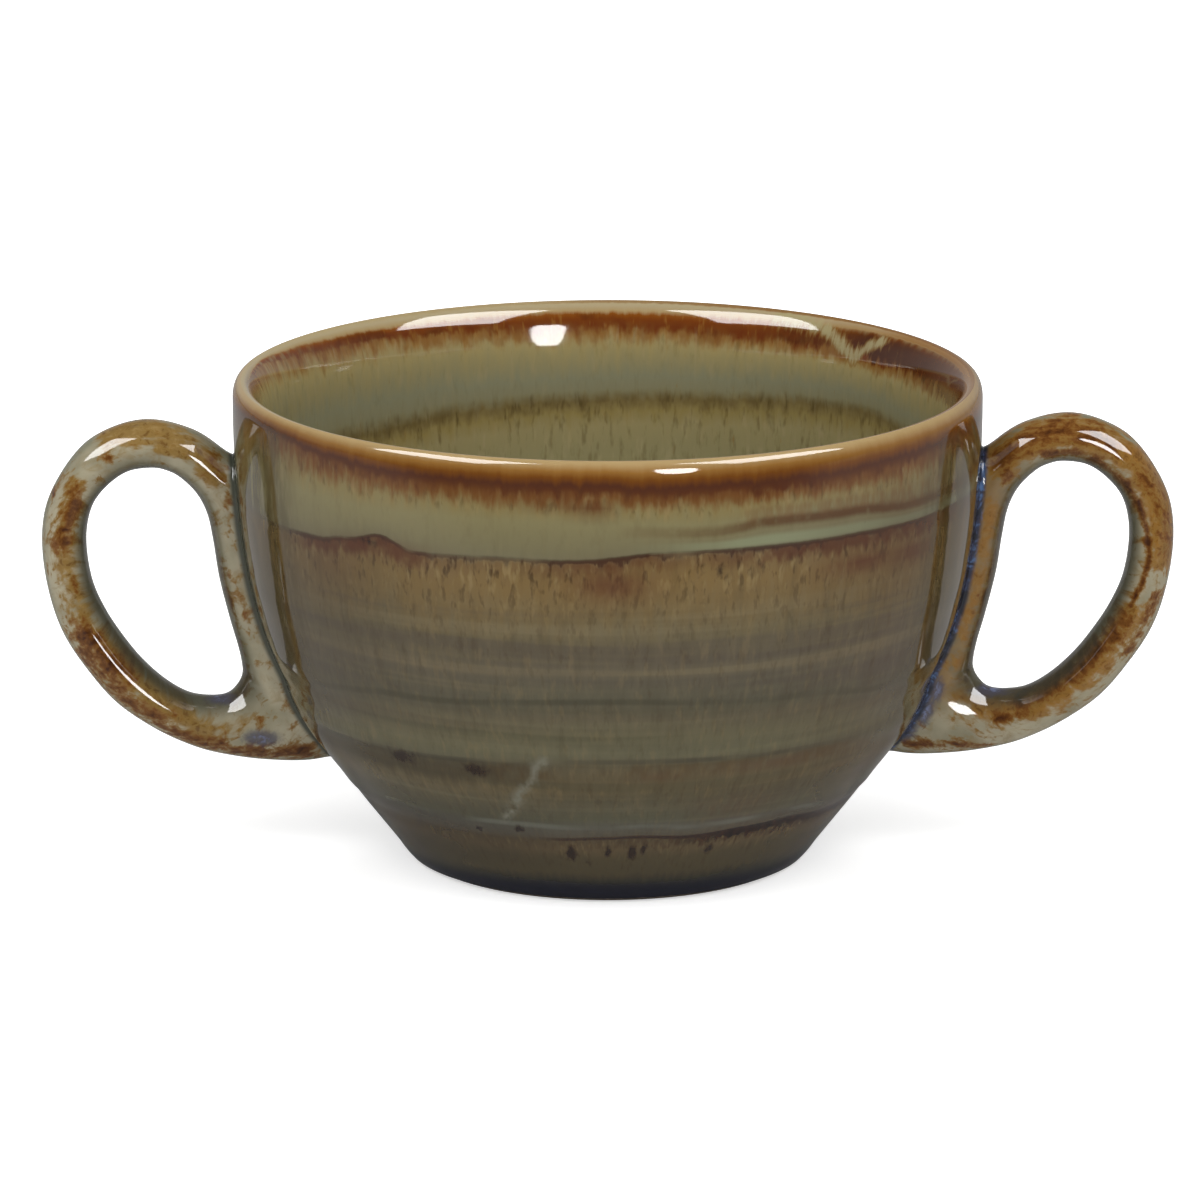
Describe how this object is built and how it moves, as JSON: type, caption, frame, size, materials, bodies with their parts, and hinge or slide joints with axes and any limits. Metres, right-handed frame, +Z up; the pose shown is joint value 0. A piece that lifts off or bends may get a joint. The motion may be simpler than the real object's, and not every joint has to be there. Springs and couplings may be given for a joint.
{
  "type": "lug soup bowl",
  "caption": "Round glazed stoneware soup bowl with a flared foot, an upright rim and two ear-shaped lug handles set opposite each other.",
  "frame": {"origin": "centre of the foot ring, on the table", "axes": "+Z up along the turning axis, +X towards the right lug, +Y away from the viewer of the picture"},
  "size_m": [0.1598, 0.1054, 0.0687],
  "materials": {
    "stoneware_clay": "fired stoneware, unglazed where it shows",
    "joining_slip": "fired slip",
    "inside_glaze": "glossy reactive glaze, olive with rust at the lip",
    "outside_glaze": "glossy reactive glaze, banded olive and brown",
    "foot_glaze": "glossy dark glaze",
    "lug_glaze": "glossy pale glaze with rust-brown mottling"
  },
  "bodies": {
    "root": {"bowl_body": "stoneware_clay", "left_lug": "stoneware_clay", "right_lug": "stoneware_clay", "left_lug_slip": "joining_slip", "right_lug_slip": "joining_slip", "inside_glaze": "inside_glaze", "outside_glaze": "outside_glaze", "foot_recess_glaze": "foot_glaze", "left_lug_glaze": "lug_glaze", "right_lug_glaze": "lug_glaze"}
  },
  "joints": []
}
